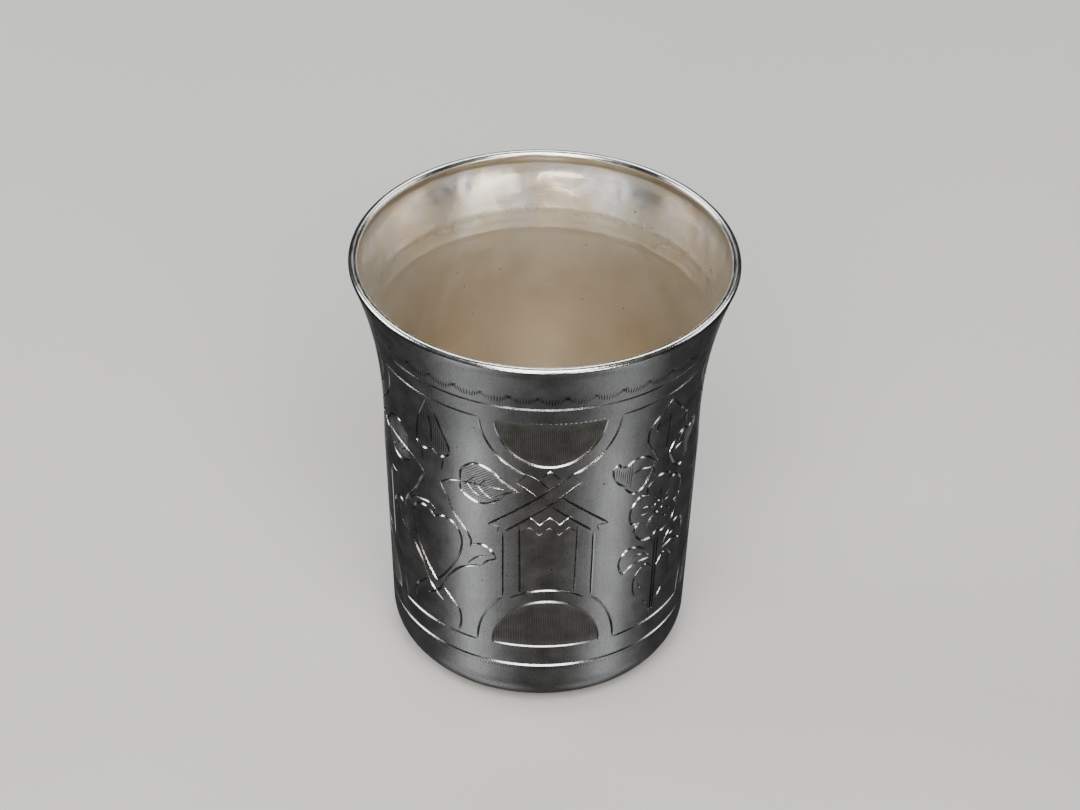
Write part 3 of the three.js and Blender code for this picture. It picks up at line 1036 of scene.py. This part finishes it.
# %% Where the half-rounds are
EDGE = 0.02
spun = spin(paint, millimetres, -math.radians(PAVILION_ANGLE))
folded = reckon_vector(paint, "ABSOLUTE", spun)
axes = add(paint, "ShaderNodeSeparateXYZ", [folded])
near = calculate("MINIMUM", axes["X"], axes["Y"])
far = calculate("MAXIMUM", axes["X"], axes["Y"])
from_pavilion = calculate("MULTIPLY", calculate("ARCTAN2", near, far), WAIST_RADIUS / UNIT)
level = calculate("DIVIDE", calculate("SUBTRACT", axes["Z"], FIELD_BOTTOM), UNIT)


def half_round(centre, half_width, rise, is_above):
    """1 inside a half-round of the pavilions, on the outside of the wall."""
    across = calculate("POWER", calculate("DIVIDE", from_pavilion, half_width), 2.0)
    up = calculate("DIVIDE", calculate("SUBTRACT", level, centre), rise)
    up_squared = calculate("POWER", calculate("ABSOLUTE", up), 2.0)
    within = ranged(calculate("ADD", across, up_squared), 1 + EDGE, 1 - EDGE)
    side = ranged(up, -EDGE, EDGE) if is_above else ranged(up, EDGE, -EDGE)
    return calculate("MULTIPLY", within, side)


half_rounds = calculate("MAXIMUM", half_round(*UPPER_ROUND, False), half_round(*LOWER_ROUND, True))
patina = calculate("MULTIPLY", half_rounds, ranged(zone, 0.1, 0.0))
print("silver's first", len(paint.nodes), "nodes")

# %% [markdown]
# ## Colour
# The layers follow one another: the silver with its blotches, grain and streaks of
# polish, the painted warm reflection inside with painted cool reflections near the mouth,
# the rubbed lip, the tarnish, painted shade in the graver's cuts, and dirt in small pits.

# %% Colour
COOL_SILVER, DULL_SILVER, GRAIN, STREAK = "#e6e8ea", "#cbcbc8", "#8f8f8c", "#b9b9b7"
# The two warm inside colours and the cool mouth colour are painted reflections of the room's light.
WARM_REFLECTION_SILVER, TAN_REFLECTION_SILVER, COOL_MOUTH_REFLECTION, LIP_SILVER = "#f4ecdf", "#ece2d0", "#eceff4", "#f6f5f2"
# The two cut colours below are painted shade in the grooves; the tarnish and the dirt in pits are the
# metal's own.
TARNISH, CUT_SHADE, DARK_CUT_SHADE, DIRT = "#71706b", "#c2c3c4", "#57534a", "#3a352c"
MOUTH_STARTS, MOUTH_ENDS = 53.0, 66.0

blotches = pattern(9.0, detail=3.0)
clouds = pattern(3.0, detail=4.0, seed=7.0)
streaks = pattern(0.5, detail=2.0, stretch=(1, 1, 40), seed=3.0)
grain = pattern(0.26, detail=1.0)
turning = pattern(0.35, detail=2.0, stretch=(60, 60, 1), seed=5.0)
panels = pattern(4.5, detail=1.0, stretch=(1, 1, 4), seed=2.0)
height = add(paint, "ShaderNodeSeparateXYZ", [millimetres])["Z"]
near_mouth = calculate("MULTIPLY", is_inside, ranged(height, MOUTH_STARTS, MOUTH_ENDS))
cells = add(paint, "ShaderNodeTexVoronoi", {"Vector": millimetres, "Scale": 0.45})
pits = calculate("MULTIPLY", ranged(cells["Distance"], 0.10, 0.05), ranged(clouds, 0.52, 0.6))

outer_silver = mixed(ranged(blotches, 0.45, 0.7, 0.0, 0.5), COOL_SILVER, DULL_SILVER)
outer_silver = mixed(ranged(grain, 0.45, 0.7, 0.0, 0.35), outer_silver, GRAIN)
outer_silver = mixed(ranged(streaks, 0.5, 0.75, 0.0, 0.25), outer_silver, STREAK)
# Painted reflection: the warm tan inside stands in for the room's warm light reflected in the silver.
inner_silver_with_reflections = mixed(ranged(blotches, 0.40, 0.65), WARM_REFLECTION_SILVER, TAN_REFLECTION_SILVER)
# Painted reflection: cool patches near the mouth stand in for the room's cool light reflected there.
mouth_reflection_patches = calculate("MULTIPLY", near_mouth, ranged(panels, 0.35, 0.65))
inner_silver_with_reflections = mixed(mouth_reflection_patches, inner_silver_with_reflections, COOL_MOUTH_REFLECTION)
metal = mixed(is_inside, outer_silver, inner_silver_with_reflections)
metal = mixed(on_lip, metal, LIP_SILVER)
metal = mixed(calculate("MULTIPLY", patina, ranged(clouds, 0.3, 0.7, 0.5, 0.9)), metal, TARNISH)
# Painted shade in the graver's cuts: a little darker grey where the shine is above 0, much darker where it
# is below.
metal = mixed(ranged(cut_face, 0.0, 1.0, 0.0, 0.9), metal, CUT_SHADE)
metal = mixed(ranged(cut_face, 0.0, -1.0), metal, DARK_CUT_SHADE)
metal = mixed(calculate("MULTIPLY", pits, 0.8), metal, DIRT)
paint.links.new(metal, surface.inputs["Base Color"])
print("silver with its colour,", len(paint.nodes), "nodes")

# %% [markdown]
# ## Roughness and relief
# The same patterns drive the roughness and a relief of hundredths of a millimetre, so
# that colour, shine and surface change in the same places. Inside there are also dents
# near the mouth, and the lines cut outside show through the thin wall.

# %% Roughness and relief
rough = ranged(clouds, 0.3, 0.7, 0.30, 0.38)
for share, change in (
    (on_lip, -0.14),
    (patina, 0.16),
    (ranged(cut_face, 0.0, 1.0), -0.14),
    (is_inside, 0.06),
    (near_mouth, -0.18),
):
    rough = calculate("MULTIPLY_ADD", share, change, rough)
paint.links.new(rough, surface.inputs["Roughness"])

small_dents = pattern(2.2, detail=0.0, seed=9.0)
dents = calculate("MULTIPLY", near_mouth, calculate("MULTIPLY_ADD", small_dents, 0.35, panels))
rings = [
    ranged(calculate("ABSOLUTE", calculate("SUBTRACT", height, ring)), 0.9, 0.1)
    for ring in (UPPER_RING, FIELD_TOP)
]
through = calculate("MULTIPLY", calculate("MAXIMUM", *rings), calculate("MULTIPLY", is_inside, clouds))
relief = 0.0
for bumps, rise in (
    (blotches, 0.10),
    (grain, 0.012),
    (streaks, 0.006),
    (turning, 0.004),
    (pits, -0.02),
    (dents, 0.16),
    (through, 0.05),
):
    relief = calculate("MULTIPLY_ADD", bumps, rise * MM, relief)
bumpy = add(paint, "ShaderNodeBump", {"Strength": 1.0, "Distance": 1.0, "Height": relief})[0]
paint.links.new(bumpy, surface.inputs["Normal"])
print("satin silver of", len(paint.nodes), "nodes")

# %% [markdown]
# ## Running the tree
# One run gives the finished beaker as a plain mesh. The values that only served the work
# come off it, and so do the two helper objects. "inside" and "cut" stay, because the
# silver reads them.

# %% Cut the beaker
beaker = run_tree(
    "engraved_beaker",
    engraver,
    {
        "Section": section_line,
        "Points": len(section),
        "Lip starts": lip_starts,
        "Lip ends": lip_ends,
        "Turns": TURNS,
        "Drawing": drawing,
        "Depth of width": GROOVE_DEPTH,
        "Silver": silver,
    },
)
for helper in (section_line, drawing):
    bpy.data.objects.remove(helper)
for label in [*values, "zone", "outward", "along", "smooth", "turned normal"]:
    beaker.data.attributes.remove(beaker.data.attributes[label])
triangles = sum(len(face.vertices) - 2 for face in beaker.data.polygons)
print("engraved beaker of", triangles, "triangles in", beaker.data.materials.keys())

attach(beaker, "root")
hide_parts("beaker")

# %% [markdown]
# ## Floor
# The beaker stands on a plain pale board. In the photograph it stands in the dark, and a
# pale floor mirrored in the silver would drown it. So the board doesn't show in the
# silver, and lets the light of the lamps below it through.

# %% Floor
bpy.ops.mesh.primitive_plane_add(size=6)
floor = bpy.context.object
floor.name = "floor"
board = bpy.data.materials.new("pale matt board")
board.use_nodes = True
board_surface = board.node_tree.nodes["Principled BSDF"]
board_surface.inputs["Base Color"].default_value = linear("#d9d8d5")
board_surface.inputs["Roughness"].default_value = 0.9
floor.data.materials.append(board)
floor.visible_glossy = False
floor.visible_shadow = False
print("floor of", board.name)

# %% [markdown]
# ## Lamps
# Lighting silver is a matter of mirrors. An upright wall seen from above mirrors what
# lies below the horizon. So the two bright bands are strips of light below the floor, at
# about twice the band's own angle round the wall, as a glossy table would give back. The
# lower side of a level groove mirrors a box high in front, or at the side for the grooves
# there. Two window panes shine into the mouth. All are soft boxes of light.

# %% Lamps
middle = (0, 0, HEIGHT * MM / 2)


def lamp(name, azimuth, elevation, distance, width, height, power, tint="#ffffff"):
    """A soft box that faces the beaker. Azimuth 0 is the camera's side, 90 is on the right."""
    data = bpy.data.lights.new(name, "AREA")
    data.shape = "RECTANGLE"
    data.size = width
    data.size_y = height
    data.energy = power
    data.color = linear(tint)[:3]
    made = bpy.data.objects.new(name, data)
    around, up = math.radians(azimuth - 90), math.radians(elevation)
    ray = Vector((math.cos(around) * math.cos(up), math.sin(around) * math.cos(up), math.sin(up)))
    made.location = Vector(middle) + distance * ray
    made.rotation_euler = (-ray).to_track_quat("-Z", "Y").to_euler()
    bpy.context.scene.collection.objects.link(made)


lamp("front box", 0, 52, 0.9, 0.7, 0.65, 10.0)
lamp("back box", 180, 55, 0.8, 0.6, 0.3, 2.2)
lamp("left box", -104, 30, 0.8, 0.5, 0.35, 2.8)
lamp("right box", 108, 30, 0.8, 0.5, 0.35, 1.5)
lamp("window's left pane", -11, 12, 0.9, 0.36, 0.10, 2.4, "#fff0dc")
lamp("window's right pane", 27, 12, 0.9, 0.36, 0.10, 1.4, "#fff4e4")
lamp("left strip", -50, -34, 0.5, 0.14, 0.25, 0.088)
lamp("left glow", -36, -36, 0.5, 0.22, 0.25, 0.022)
lamp("left low strip", -70, -67, 0.4, 0.16, 0.2, 0.036)
lamp("right strip", 54, -34, 0.5, 0.14, 0.25, 0.070)
lamp("right glow", 40, -36, 0.5, 0.18, 0.25, 0.016)
lamp("right low strip", 76, -64, 0.4, 0.16, 0.2, 0.030)
lamp("back strip", 180, -26, 0.5, 0.26, 0.25, 0.20)
world = bpy.data.worlds.new("studio")
bpy.context.scene.world = world
world.use_nodes = True
sky = world.node_tree.nodes["Background"]
sky.inputs["Color"].default_value = linear("#c9ccd1")
sky.inputs["Strength"].default_value = 0.024
print(len(bpy.data.lights), "lamps")

# %% [markdown]
# ## Camera
# Place and lens come from a fit of the lip's ellipse and the engraved rings to the
# photograph, which is 1080 pixels wide. The lens is shifted by a few pixels so that the
# beaker stands where it does there.

# %% Camera
DISTANCE = 0.584
ELEVATION = 37.36
ROLL = 0.02
FOCAL_PIXELS = 3690.6
PHOTO_WIDTH = 1080
SENSOR = 36.0
DOWN_PIXELS = 35.8
RIGHT_PIXELS = 1.2

lens = bpy.data.cameras.new("camera")
camera = bpy.data.objects.new("camera", lens)
bpy.context.scene.collection.objects.link(camera)
tilt = math.radians(ELEVATION)
camera.location = (0, -DISTANCE * math.cos(tilt), middle[2] + DISTANCE * math.sin(tilt))
aim = Vector(middle) - camera.location
camera.rotation_euler = aim.to_track_quat("-Z", "Y").to_euler()
camera.rotation_euler.rotate_axis("Z", ROLL)
lens.sensor_width = SENSOR
lens.lens = FOCAL_PIXELS / PHOTO_WIDTH * SENSOR
lens.shift_x = -RIGHT_PIXELS / PHOTO_WIDTH
lens.shift_y = DOWN_PIXELS / PHOTO_WIDTH
bpy.context.scene.camera = camera
print(f"lens of {lens.lens:.0f} mm, {DISTANCE} m away")
